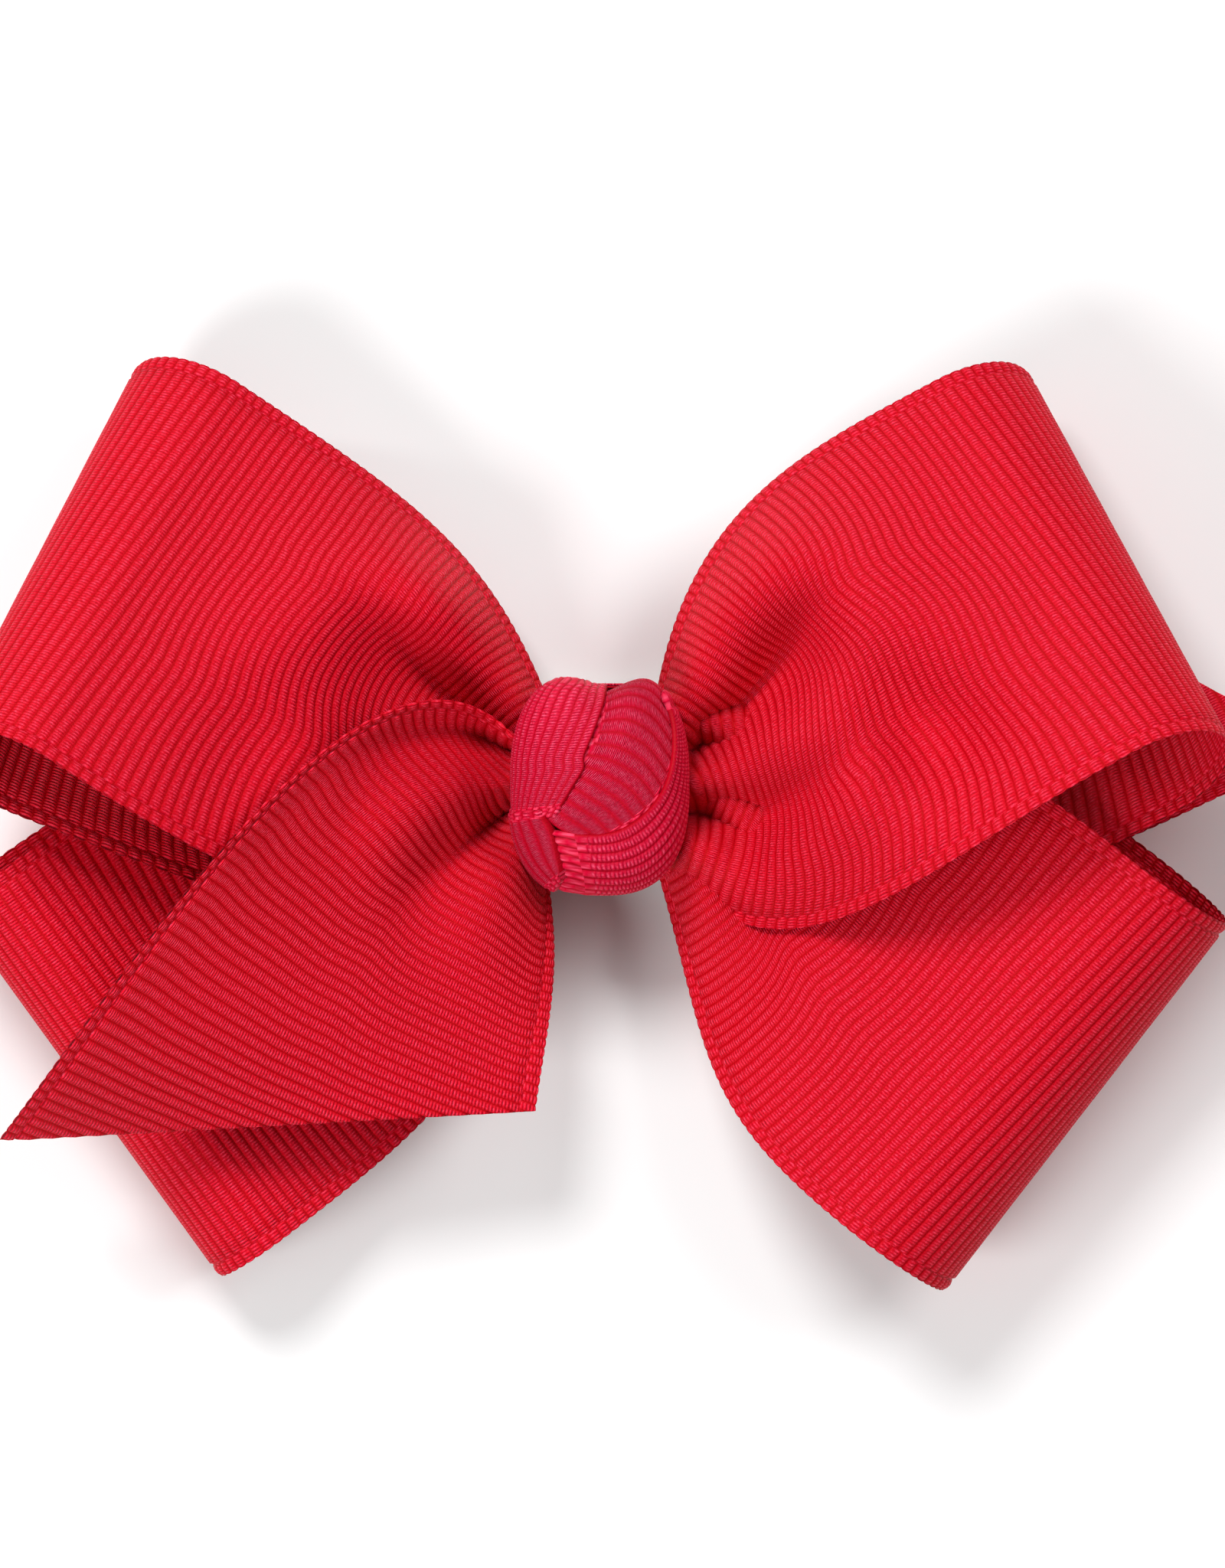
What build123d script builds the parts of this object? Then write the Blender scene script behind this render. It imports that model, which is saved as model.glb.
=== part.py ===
from build123d import *

import os
from dataclasses import dataclass
from math import asin, cos, degrees, pi, radians, sin

# Ribbon bow with four loops, two tails and an overhand-knot centre.
# Millimetres. The origin is the centre of the back face that is stuck to a parcel.
# +Z points out of the front of the bow, +Y to its top, +X to its right.

# ---------------------------------------------------------------- driving dimensions
RIBBON_WIDTH = 57.15            # main ribbon, 2 1/4 inch grosgrain
RIBBON_THICKNESS = 0.4

GATHER_HEIGHT = 21.0            # height that the main ribbon is drawn in to at the waist
WAIST_MARGIN = 1.5              # the waist plies end on an arc, this much past half that height
SWING_GAP = 0.5                 # between a waist ply's end and the neck of a loop or tail
PLY_PITCH = 2.0                 # from one ply to the next in the waist

THREAD_DIAMETER = 0.5           # sewing thread that draws the waist in
THREAD_TURNS = 6
THREAD_PITCH = 0.9
THREAD_GAP = 0.15               # between the thread and the plies or the wrap

WRAP_WIDTH = 10.0               # narrow ribbon, drawn in where it passes round the waist
WRAP_THICKNESS = 0.6
WRAP_BEND = 2.0                 # outside radius where it turns behind the waist
WRAP_GAP = 0.2                  # between the wrap and the thread
WRAP_LAP = 9.0                  # how far the two ends of the wrap overlap at the back

KNOT_WIDTH = 21.5
KNOT_HEIGHT = 27.5
KNOT_DEPTH = 11.5
KNOT_SHIFT = (-0.1, -0.3)       # the knot sits a little off the middle
KNOT_SECTIONS = ((0.0, 0.88), (0.2, 0.97), (0.4, 1.0), (0.6, 0.96), (0.8, 0.83), (0.93, 0.62),
                 (1.0, 0.42))   # height and size as shares of the whole
KNOT_SEAT_GAP = 0.3             # between the knot and the ply, thread or wrap behind it

GLUE_THICKNESS = 0.5
GLUE_DIAMETER = 9.0
CARD_SIZE = (38.0, 23.0)        # small enough to hide behind the knot and the necks
CARD_THICKNESS = 0.8
FOAM_MARGIN = 1.5               # the foam pad stays this far inside the card's edge
FOAM_THICKNESS = 1.6
LINER_MARGIN = 0.5              # the liner reaches this far past the foam
LINER_THICKNESS = 0.3
LINER_TAB_WIDTH = 12.0
LINER_TAB_LENGTH = 6.0          # finger tab beyond the rest of the liner
PAD_CORNER = 5.0                # corner radius of the card

# ---------------------------------------------------------------- heights of the stack
FOAM_BACK = LINER_THICKNESS
CARD_BACK = FOAM_BACK + FOAM_THICKNESS
GLUE_BACK = CARD_BACK + CARD_THICKNESS
WRAP_BACK = GLUE_BACK + GLUE_THICKNESS
WRAP_INNER_BACK = WRAP_BACK + 2.0 * WRAP_THICKNESS
THREAD_BACK = WRAP_INNER_BACK + WRAP_GAP
GATHER_THICKNESS = RIBBON_THICKNESS * RIBBON_WIDTH / GATHER_HEIGHT
LAST_LEVEL = THREAD_BACK + THREAD_DIAMETER + THREAD_GAP + GATHER_THICKNESS / 2.0
PLY_COUNT = 5
WAIST_RADIUS = GATHER_HEIGHT / 2.0 + WAIST_MARGIN


def level(number):
    """Height of the middle of a waist ply; 1 is the frontmost and 5 the last."""
    return LAST_LEVEL + (PLY_COUNT - number) * PLY_PITCH


WAIST_FRONT = level(1) + GATHER_THICKNESS / 2.0
THREAD_FRONT = WAIST_FRONT + THREAD_GAP + THREAD_DIAMETER
KNOT_BACK = THREAD_FRONT + KNOT_SEAT_GAP
NECK_RADIUS = WAIST_RADIUS + SWING_GAP
NECK_HALF_ANGLE = degrees(asin(0.5 * GATHER_HEIGHT / NECK_RADIUS))


# ---------------------------------------------------------------- shapes of the ribbon
@dataclass
class Loop:
    """One loop: out from the waist in front, round a soft fold and back behind.

    The angles are in the plane of the bow, counted from +X. "low" is the selvedge on the
    clockwise side of the loop and "high" the other one, seen from the front.
    """

    name: str
    fold: tuple          # middle of the fold's outer line
    heading: float       # direction from the waist to the fold
    tilt: float          # rise of the fold's line from its low to its high end
    radius: float        # inside the fold
    front: int           # waist ply that the front leg comes from
    back: int            # waist ply that the back leg returns to
    neck: tuple          # direction from the centre to the neck: low, high
    fan: tuple           # direction in which the selvedges leave the neck: low, high
    neck_reach: tuple    # how far they keep that direction: low, high
    fold_reach: tuple    # how far from the fold they start to run straight: low, high
    close: tuple         # angle at which the legs leave the fold towards each other: front, back
    lift: float          # rise of the front leg as it leaves the neck


@dataclass
class Tail:
    """One tail: out from the waist to an end cut at a slant."""

    name: str
    ends: tuple          # corners of the cut end: low, high
    headings: tuple      # direction of the selvedges at the cut end: low, high
    ply: int
    neck: tuple
    fan: tuple
    neck_reach: tuple
    end_reach: tuple
    lift: tuple          # rise of the selvedges as they leave the neck: low, high
    dip: tuple           # fall of the selvedges at the cut end: low, high


RIGHT_NECK = (-NECK_HALF_ANGLE, NECK_HALF_ANGLE)
LEFT_NECK = (180.0 - NECK_HALF_ANGLE, 180.0 + NECK_HALF_ANGLE)

LOOPS = (
    Loop("upper_left_loop", (-68.6, 27.7, 22.4), 153.1, 26.0, 9.5, 2, 3,
         LEFT_NECK, (112.0, 212.0), (20.0, 22.0), (26.0, 30.0), (15.0, 12.0), 0.0),
    Loop("upper_right_loop", (64.5, 27.3, 23.6), 28.2, -26.0, 10.5, 1, 3,
         RIGHT_NECK, (-46.0, 80.0), (25.0, 24.0), (32.0, 18.0), (0.0, 4.0), 6.0),
    Loop("lower_left_loop", (-63.3, -37.7, 11.2), 215.8, -6.0, 7.5, 4, 5,
         LEFT_NECK, (176.0, 262.0), (18.0, 24.0), (34.0, 20.0), (17.0, 0.0), 0.0),
    Loop("lower_right_loop", (59.4, -39.9, 16.0), -37.6, 6.0, 12.0, 2, 5,
         RIGHT_NECK, (-74.0, 2.0), (24.0, 18.0), (24.0, 34.0), (14.0, 0.0), 0.0),
)

TAILS = (
    Tail("front_tail", ((-73.6, -43.9, 28.0), (-8.1, -40.5, 19.0)), (232.0, 262.0), 1,
         (152.0, 180.0 + NECK_HALF_ANGLE), (134.0, 268.0), (26.0, 10.0), (40.0, 12.0),
         (16.0, 8.0), (48.0, 6.0)),
    Tail("back_tail", ((88.0, 1.0, 21.0), (37.0, 32.0, 4.0)), (26.0, 34.0), 4,
         RIGHT_NECK, (-36.0, 52.0), (26.0, 12.0), (34.0, 14.0), (0.0, 0.0), (0.0, 0.0)),
)


def direction(angle, rise=0.0):
    """Unit vector at an angle in the plane of the bow, tipped up by rise degrees."""
    flat = cos(radians(rise))
    return Vector(flat * cos(radians(angle)), flat * sin(radians(angle)), sin(radians(rise)))


def mix(pair, v):
    """Value between a pair, where v runs from -0.5 (low selvedge) to 0.5 (high)."""
    return pair[0] * (0.5 - v) + pair[1] * (0.5 + v)


def bezier(p0, p1, p2, p3, t):
    s = 1.0 - t
    return p0 * s**3 + p1 * (3 * s * s * t) + p2 * (3 * s * t * t) + p3 * t**3


def leg_point(shape, ply, v, t, lift, end, approach):
    """Point on a leg that runs from the waist (t = 0) to its end (t = 1).

    approach is the direction in which it reaches the end, as long as it keeps to it.
    """
    start = direction(mix(shape.neck, v)) * NECK_RADIUS + Vector(0, 0, level(ply))
    leave = direction(mix(shape.fan, v), lift) * mix(shape.neck_reach, v)
    return bezier(start, start + leave, end - approach, end, t)


def loop_axes(loop):
    """Directions along the loop, along its fold's line and out of its front."""
    along = direction(loop.heading)
    across = direction(loop.heading + 90.0, loop.tilt)
    return along, across, along.cross(across)


FOLD_SHARE = 0.16               # part of the loop's length parameter spent in the fold


def loop_point(loop, u, v):
    """Middle surface of a loop: u runs from the front neck (0) to the back neck (1)."""
    along, across, outward = loop_axes(loop)
    centre = Vector(*loop.fold) - along * loop.radius + across * (v * RIBBON_WIDTH)
    front_close, back_close = (radians(angle) for angle in loop.close)
    leg_share = 0.5 - FOLD_SHARE / 2.0
    reach = mix(loop.fold_reach, v)
    if u < leg_share:
        end = centre + (outward * cos(front_close) - along * sin(front_close)) * loop.radius
        approach = (along * cos(front_close) + outward * sin(front_close)) * reach
        return leg_point(loop, loop.front, v, u / leg_share, loop.lift, end, approach)
    if u > 1.0 - leg_share:
        end = centre - (outward * cos(back_close) + along * sin(back_close)) * loop.radius
        approach = (along * cos(back_close) - outward * sin(back_close)) * reach
        return leg_point(loop, loop.back, v, (1.0 - u) / leg_share, 0.0, end, approach)
    turned = (u - leg_share) / FOLD_SHARE
    turn = (pi + back_close) * turned - front_close * (1.0 - turned)
    return centre + (outward * cos(turn) + along * sin(turn)) * loop.radius


def tail_point(tail, u, v):
    """Middle surface of a tail: u runs from the neck (0) to the cut end (1)."""
    low, high = (Vector(*corner) for corner in tail.ends)
    end = mix((low, high), v)
    approach = direction(mix(tail.headings, v), -mix(tail.dip, v)) * mix(tail.end_reach, v)
    return leg_point(tail, tail.ply, v, u, mix(tail.lift, v), end, approach)


# ---------------------------------------------------------------- solids
COLUMNS = 7                     # lines along a strip, selvedges included
SPAN_ROWS = 9                   # sections in each span of a strip
STEP = 1e-3                     # for the direction of the surface


def gathered_thickness(width):
    """A ribbon drawn in to less than its width is thicker, so its section stays the same."""
    return RIBBON_THICKNESS * max(1.0, RIBBON_WIDTH / width)


def section(point_at, u):
    """Points on the front and on the back of a strip, from its low to its high selvedge."""
    places = [j / (COLUMNS - 1) - 0.5 for j in range(COLUMNS)]
    line = [point_at(u, v) for v in places]
    width = sum((b - a).length for a, b in zip(line, line[1:]))
    half = 0.5 * gathered_thickness(width)
    front = []
    back = []
    for point, v in zip(line, places):
        along = point_at(min(u + STEP, 1.0), v) - point_at(max(u - STEP, 0.0), v)
        across = point_at(u, min(v + STEP, 0.5)) - point_at(u, max(v - STEP, -0.5))
        normal = along.cross(across).normalized()
        front.append(point + normal * half)
        back.append(point - normal * half)
    return front, back


def ruled(a, b):
    return Face.make_surface_from_curves(a, b)


def span_faces(sections):
    """Front, back and selvedge faces of one span of a strip."""
    sides = []
    for side in (0, 1):
        sides.append([Edge.make_spline([one[side][j] for one in sections])
                      for j in range(COLUMNS)])
    front, back = sides
    faces = [ruled(front[0], back[0]), ruled(front[-1], back[-1])]
    for edges in sides:
        faces += [ruled(a, b) for a, b in zip(edges, edges[1:])]
    return faces


def end_faces(one):
    """Faces that close a strip at one of its two ends."""
    front, back = one
    return [ruled(Edge.make_line(front[j], front[j + 1]), Edge.make_line(back[j], back[j + 1]))
            for j in range(COLUMNS - 1)]


def strip_solid(point_at, breaks):
    """Closed solid round the middle surface point_at(u, v), in smooth spans between breaks."""
    faces = []
    for u0, u1 in zip(breaks, breaks[1:]):
        places = [u0 + (u1 - u0) * i / (SPAN_ROWS - 1) for i in range(SPAN_ROWS)]
        faces += span_faces([section(point_at, u) for u in places])
    faces += end_faces(section(point_at, breaks[0]))
    faces += end_faces(section(point_at, breaks[-1]))
    return Solid(Shell(faces))


def loop_solid(loop):
    leg_share = 0.5 - FOLD_SHARE / 2.0
    breaks = (0.0, leg_share, 1.0 - leg_share, 1.0)
    return strip_solid(lambda u, v: loop_point(loop, u, v), breaks)


def tail_solid(tail):
    return strip_solid(lambda u, v: tail_point(tail, u, v), (0.0, 1.0))


def waist_ply(number):
    disc = Cylinder(WAIST_RADIUS, GATHER_THICKNESS)
    ply = disc & Box(2.0 * WAIST_RADIUS, GATHER_HEIGHT, GATHER_THICKNESS)
    return Pos(0, 0, level(number)) * ply


def gather_thread():
    """Turns of thread round the waist, each a closed ring of its own."""
    half_height = 0.5 * GATHER_HEIGHT + THREAD_GAP + 0.5 * THREAD_DIAMETER
    back = THREAD_BACK + 0.5 * THREAD_DIAMETER
    front = THREAD_FRONT - 0.5 * THREAD_DIAMETER
    middle = 0.5 * (back + front)
    rings = []
    for turn in range(THREAD_TURNS):
        x = (turn - 0.5 * (THREAD_TURNS - 1)) * THREAD_PITCH
        plane = Plane(origin=(x, 0, middle), x_dir=(0, 1, 0), z_dir=(1, 0, 0))
        outer = RectangleRounded(2.0 * half_height + THREAD_DIAMETER,
                                 front - back + THREAD_DIAMETER, 2.0 * THREAD_DIAMETER)
        inner = RectangleRounded(2.0 * half_height - THREAD_DIAMETER,
                                 front - back - THREAD_DIAMETER, THREAD_DIAMETER)
        rings.append(extrude(plane * (outer - inner), 0.5 * THREAD_DIAMETER, both=True))
    return rings


def wrap_leg(side):
    """Half of the narrow ribbon round the waist: from the knot (front) to the lap behind.

    side is 1 for the leg over the top of the waist and -1 for the one below it.
    """
    inner = 0.5 * GATHER_HEIGHT + THREAD_GAP + THREAD_DIAMETER + WRAP_GAP
    outer = inner + WRAP_THICKNESS
    lap = -0.5 * WRAP_LAP
    back = WRAP_BACK + (WRAP_THICKNESS if side > 0 else 0.0)
    section = offset(FilletPolyline((side * lap, back), (side * outer, back),
                                    (side * outer, KNOT_BACK), radius=WRAP_BEND),
                     WRAP_THICKNESS, side=Side.LEFT if side > 0 else Side.RIGHT)
    plane = Plane(origin=(0, 0, 0), x_dir=(0, 1, 0), z_dir=(1, 0, 0))
    return extrude(plane * make_face(section), 0.5 * WRAP_WIDTH, both=True)


def centre_knot():
    """Overhand knot in the narrow ribbon, as one closed body of its outer shape."""
    sections = []
    for height, share in KNOT_SECTIONS:
        plane = Plane(origin=(KNOT_SHIFT[0], KNOT_SHIFT[1], KNOT_BACK + height * KNOT_DEPTH))
        width = KNOT_WIDTH * share
        tall = KNOT_HEIGHT * share
        sections.append(plane * RectangleRounded(width, tall, 0.44 * width))
    return loft(sections)


def glue_dot():
    """Hot-melt glue between the card and the wrap."""
    return Pos(0, 0, GLUE_BACK + 0.5 * GLUE_THICKNESS) * Cylinder(0.5 * GLUE_DIAMETER, GLUE_THICKNESS)


def pad_outline(margin):
    """Outline of the card, drawn in by a margin."""
    length, height = (side - 2.0 * margin for side in CARD_SIZE)
    return RectangleRounded(length, height, PAD_CORNER - margin)


def pad_layer(margin, thickness, back):
    return Pos(0, 0, back) * extrude(pad_outline(margin), thickness)


def release_liner():
    margin = FOAM_MARGIN - LINER_MARGIN
    half_length = 0.5 * CARD_SIZE[0] - margin
    reach = half_length + LINER_TAB_LENGTH
    tab = Pos(0.5 * reach, 0) * Rectangle(reach, LINER_TAB_WIDTH)
    tip = tab.vertices().group_by(Axis.X)[-1]
    return extrude(pad_outline(margin) + fillet(tip, 0.3 * LINER_TAB_WIDTH), LINER_THICKNESS)


def build():
    """Every node's solid or solids by name."""
    nodes = {loop.name: loop_solid(loop) for loop in LOOPS}
    nodes.update({tail.name: tail_solid(tail) for tail in TAILS})
    nodes.update({f"waist_ply_{n}": waist_ply(n) for n in range(1, PLY_COUNT + 1)})
    nodes["gather_thread"] = Compound(gather_thread())
    nodes["centre_knot"] = centre_knot()
    nodes["wrap_leg_upper"] = wrap_leg(1)
    nodes["wrap_leg_lower"] = wrap_leg(-1)
    nodes["glue_dot"] = glue_dot()
    nodes["backing_card"] = pad_layer(0.0, CARD_THICKNESS, CARD_BACK)
    nodes["adhesive_foam"] = pad_layer(FOAM_MARGIN, FOAM_THICKNESS, FOAM_BACK)
    nodes["release_liner"] = release_liner()
    return nodes


if __name__ == "__main__":
    os.makedirs("parts", exist_ok=True)
    for name, solid in build().items():
        export_step(solid, f"parts/{name}.step")
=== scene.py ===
from math import pi

import bpy
import numpy as np
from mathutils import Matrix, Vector


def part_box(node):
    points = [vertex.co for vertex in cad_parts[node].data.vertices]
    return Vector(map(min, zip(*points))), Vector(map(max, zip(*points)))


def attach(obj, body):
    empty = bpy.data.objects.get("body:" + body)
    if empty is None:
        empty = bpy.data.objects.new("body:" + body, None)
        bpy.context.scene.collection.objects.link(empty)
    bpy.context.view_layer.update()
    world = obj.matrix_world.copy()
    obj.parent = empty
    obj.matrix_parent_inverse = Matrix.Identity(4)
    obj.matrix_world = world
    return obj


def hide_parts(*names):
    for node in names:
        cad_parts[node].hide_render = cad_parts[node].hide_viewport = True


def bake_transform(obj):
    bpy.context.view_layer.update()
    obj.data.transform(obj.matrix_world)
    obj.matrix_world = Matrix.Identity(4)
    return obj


# Looks of a ribbon gift bow: four loops, two tails, a knotted centre and a stick-on pad.
# Shapes are worked out in millimetres in the frame's axes and turned to metres in their meshes.
# +Z points out of the front of the bow, +Y to its top, +X to its right.

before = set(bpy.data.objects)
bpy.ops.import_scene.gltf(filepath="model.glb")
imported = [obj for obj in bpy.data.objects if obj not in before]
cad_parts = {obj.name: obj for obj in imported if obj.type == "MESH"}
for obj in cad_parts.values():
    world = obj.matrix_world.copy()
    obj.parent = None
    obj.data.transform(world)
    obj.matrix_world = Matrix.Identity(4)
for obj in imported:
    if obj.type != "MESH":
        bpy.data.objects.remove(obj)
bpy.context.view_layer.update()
MM = 0.001


def node_box(name):
    """Lowest and highest corner of a CAD node, in millimetres."""
    low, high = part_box(name)
    return np.array(low) / MM, np.array(high) / MM


# ---------------------------------------------------------------- driving dimensions
RIBBON_WIDTH = 57.15
RIBBON_THICKNESS = 0.36
RIB_PITCH = 1.43
RIB_HEIGHT = 0.28               # from a groove to the top of a rib, on each face
ROWS_PER_RIB = 8
ROW_MARGIN = 0.2                # share of a row kept free at each end of a strip
SELVEDGE = 1.7                  # woven band along each edge
BEAD_PITCH = 0.39               # crossings of the warp along a rib
NARROW_RIB_PITCH = 1.2          # ribs of the knot's narrower ribbon

SWING_GAP = 0.5                 # between a waist ply's end and the neck of a loop or tail
PLY_COUNT = 5
PLY_LEVELS = {n: 0.5 * sum(corner[2] for corner in node_box(f"waist_ply_{n}"))
              for n in range(1, PLY_COUNT + 1)}
WAIST_RADIUS = node_box("waist_ply_1")[1][0]
GATHER_HALF = node_box("waist_ply_1")[1][1]
NECK_RADIUS = WAIST_RADIUS + SWING_GAP
NECK_HALF_ANGLE = np.degrees(np.arcsin(GATHER_HALF / NECK_RADIUS))
RIGHT_NECK = (-NECK_HALF_ANGLE, NECK_HALF_ANGLE)
LEFT_NECK = (180.0 - NECK_HALF_ANGLE, 180.0 + NECK_HALF_ANGLE)

PLEAT_FRONT = 4.4               # height of the pleats beside the knot, frontmost ply
PLEAT_BACK = 2.4                # and backmost ply
PLEAT_ROUNDING = 0.04           # 0 leaves a sharp crease between two ridges
PLEAT_FADE = (8.0, 34.0)        # they run out over this distance from the neck
HIDDEN_FADE = (2.0, 12.0)       # and where other legs cover them

# Each loop as in the CAD model, then the outward crown of its front and back leg, where the
# pleats of its front leg run out, how far its ribs run ahead at the high selvedge, and the
# bumps and hollows of its front leg: x, y, radius and height of each.
# "low" is the selvedge on its clockwise side and "high" the other one, seen from the front.
LOOPS = (
    dict(name="upper_left_loop", side=-1, fold=(-68.6, 27.7, 22.4), heading=153.1, tilt=26.0,
         radius=9.5, plies=(2, 3), neck=LEFT_NECK, fan=(112.0, 212.0), neck_reach=(20.0, 22.0),
         fold_reach=(26.0, 30.0), close=(15.0, 12.0), lift=0.0, crown=(8.5, 2.0),
         fade=PLEAT_FADE, skew=-8.0,
         bumps=((-22.0, 19.0, 7.0, 4.0), (-29.0, 9.0, 8.0, -6.0), (-42.0, 3.0, 9.0, -3.0),
                (-23.0, -8.0, 9.0, -6.0))),
    dict(name="upper_right_loop", side=1, fold=(64.5, 27.3, 23.6), heading=28.2, tilt=-26.0,
         radius=10.5, plies=(1, 3), neck=RIGHT_NECK, fan=(-46.0, 80.0), neck_reach=(25.0, 24.0),
         fold_reach=(32.0, 18.0), close=(0.0, 4.0), lift=6.0, crown=(9.0, 2.0),
         fade=PLEAT_FADE, skew=9.0,
         bumps=((24.0, 21.0, 8.0, 3.0), (25.0, 12.0, 5.5, -4.5), (41.0, 4.0, 8.0, -8.0),
                (28.0, 0.0, 8.0, 5.0), (18.0, -9.0, 3.5, -2.5))),
    dict(name="lower_left_loop", side=-1, fold=(-63.3, -37.7, 11.2), heading=215.8, tilt=-6.0,
         radius=7.5, plies=(4, 5), neck=LEFT_NECK, fan=(176.0, 262.0), neck_reach=(18.0, 24.0),
         fold_reach=(34.0, 20.0), close=(17.0, 0.0), lift=0.0, crown=(2.5, 0.5), skew=0.0,
         fade=HIDDEN_FADE, bumps=()),
    dict(name="lower_right_loop", side=1, fold=(59.4, -39.9, 16.0), heading=-37.6, tilt=6.0,
         radius=12.0, plies=(2, 5), neck=RIGHT_NECK, fan=(-74.0, 2.0), neck_reach=(24.0, 18.0),
         fold_reach=(24.0, 34.0), close=(14.0, 0.0), lift=0.0, crown=(5.5, 0.5),
         fade=(4.0, 22.0), skew=-6.0, bumps=((33.0, -3.0, 10.0, -3.0),)),
)

# Each tail as in the CAD model, pairs being its low and high selvedge: the corners of its cut
# end and its heading there, how far its curves run straight, how steeply it rises from the neck
# and dips to its end. It rolls up by "roll" at the low selvedge beside the neck. Its ribs lie
# square to "rib_heading" at the cut end, and it moves along "blend_heading".
TAILS = (
    dict(name="front_tail", side=-1, ends=((-73.6, -43.9, 28.0), (-8.1, -40.5, 19.0)),
         headings=(232.0, 262.0), blend_heading=215.0, ply=1,
         neck=(152.0, 180.0 + NECK_HALF_ANGLE), fan=(134.0, 280.0),
         neck_reach=(26.0, 13.0), end_reach=(40.0, 12.0),
         lift=(16.0, 8.0), dip=(48.0, 6.0), roll=4.0, rib_heading=242.0, fade=(4.0, 26.0),
         bumps=((-24.0, -5.0, 11.0, 4.5), (-13.5, 5.0, 3.2, -2.0))),
    dict(name="back_tail", side=1, ends=((88.0, 4.0, 21.0), (37.0, 32.0, 4.0)),
         headings=(26.0, 34.0), blend_heading=30.0, ply=4, neck=RIGHT_NECK, fan=(-36.0, 52.0),
         neck_reach=(26.0, 12.0), end_reach=(34.0, 14.0), lift=(0.0, 0.0), dip=(0.0, 0.0),
         roll=0.0, rib_heading=30.0, fade=HIDDEN_FADE, bumps=()),
)


# ---------------------------------------------------------------- small helpers
def direction(angle, rise=0.0):
    """Unit vectors at angles in the plane of the bow, tipped up by rise, all in degrees."""
    angle, rise = np.broadcast_arrays(np.radians(angle), np.radians(rise))
    return np.stack([np.cos(rise) * np.cos(angle), np.cos(rise) * np.sin(angle), np.sin(rise)], -1)


def mix(pair, v):
    """Value between a pair, where v runs from -0.5 (low selvedge) to 0.5 (high)."""
    low, high = (np.asarray(value, float) for value in pair)
    if low.ndim:
        v = v[:, None]
    return low * (0.5 - v) + high * (0.5 + v)


def bezier(p0, p1, p2, p3, t):
    """Points at t, shaped (n, 1, 1), on one curve for each column of the control points."""
    s = 1.0 - t
    return p0 * s**3 + 3.0 * p1 * s * s * t + 3.0 * p2 * s * t * t + p3 * t**3


def smoothstep(value, low, high):
    share = np.clip((value - low) / (high - low), 0.0, 1.0)
    return share * share * (3.0 - 2.0 * share)


def running_length(points):
    """Length along each column of a grid of points, from its first row."""
    steps = np.linalg.norm(np.diff(points, axis=0), axis=2)
    return np.vstack([np.zeros(points.shape[1]), np.cumsum(steps, axis=0)])


def spline(points, count):
    """Evenly spread points on a smooth line through a few points."""
    points = np.asarray(points, float)
    ends = np.vstack([2.0 * points[0] - points[1], points, 2.0 * points[-1] - points[-2]])
    where = np.linspace(0.0, len(points) - 1.0, count)
    first = np.minimum(where.astype(int), len(points) - 2)
    t = (where - first)[:, None]
    a, b, c, d = (ends[first + k] for k in range(4))
    return b + 0.5 * t * (c - a + t * (2.0 * a - 5.0 * b + 4.0 * c - d
                                       + t * (3.0 * (b - c) + d - a)))


# ---------------------------------------------------------------- ribbed strips of ribbon
BAND_COLUMNS = (0.0, 0.25, 0.55, 0.85, 1.0, 1.2)   # places across a woven edge, in its widths
RIB_ROUNDING = 0.75             # power of a sine: less makes flatter ribs and sharper grooves
RIB_MEAN = 0.55                 # mean height of a rib, as a share of its top
EDGE_BEAD = 1.25                # height of the woven edge's beads, against a rib's
EDGE_BEAD_MEAN = 0.75
EDGE_BEAD_ROUNDING = 0.6
EDGE_THICKNESS = 0.45           # share of the thickness left at the selvedge itself
EDGE_WAVE = 0.14                # how far the selvedge swells at each bead


def columns(width, band, inner_count):
    """Places across a ribbon from -0.5 to 0.5, closer together in the woven bands."""
    edge = np.array(BAND_COLUMNS) * band / width
    inner = np.linspace(-0.5 + edge[-1], 0.5 - edge[-1], inner_count)
    return np.concatenate([-0.5 + edge[:-1], inner, 0.5 - edge[-2::-1]])


def rib_profile(phase):
    """Height of a rib from 0 in the grooves to 1 on top, for a phase counted in ribs."""
    return np.abs(np.sin(pi * phase)) ** RIB_ROUNDING


def relief(phase, across, width, band):
    """Height of the weave above the mean face: ribs, and the beads of the woven edge."""
    inset = 0.5 * width - np.abs(across)
    ribs = rib_profile(phase) - RIB_MEAN
    swell = np.sin(pi * np.clip(inset / band, 0.0, 1.0)) ** EDGE_BEAD_ROUNDING
    beads = EDGE_BEAD * rib_profile(phase + 0.5) * swell - EDGE_BEAD_MEAN
    return np.where(inset < band, beads, ribs)


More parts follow.
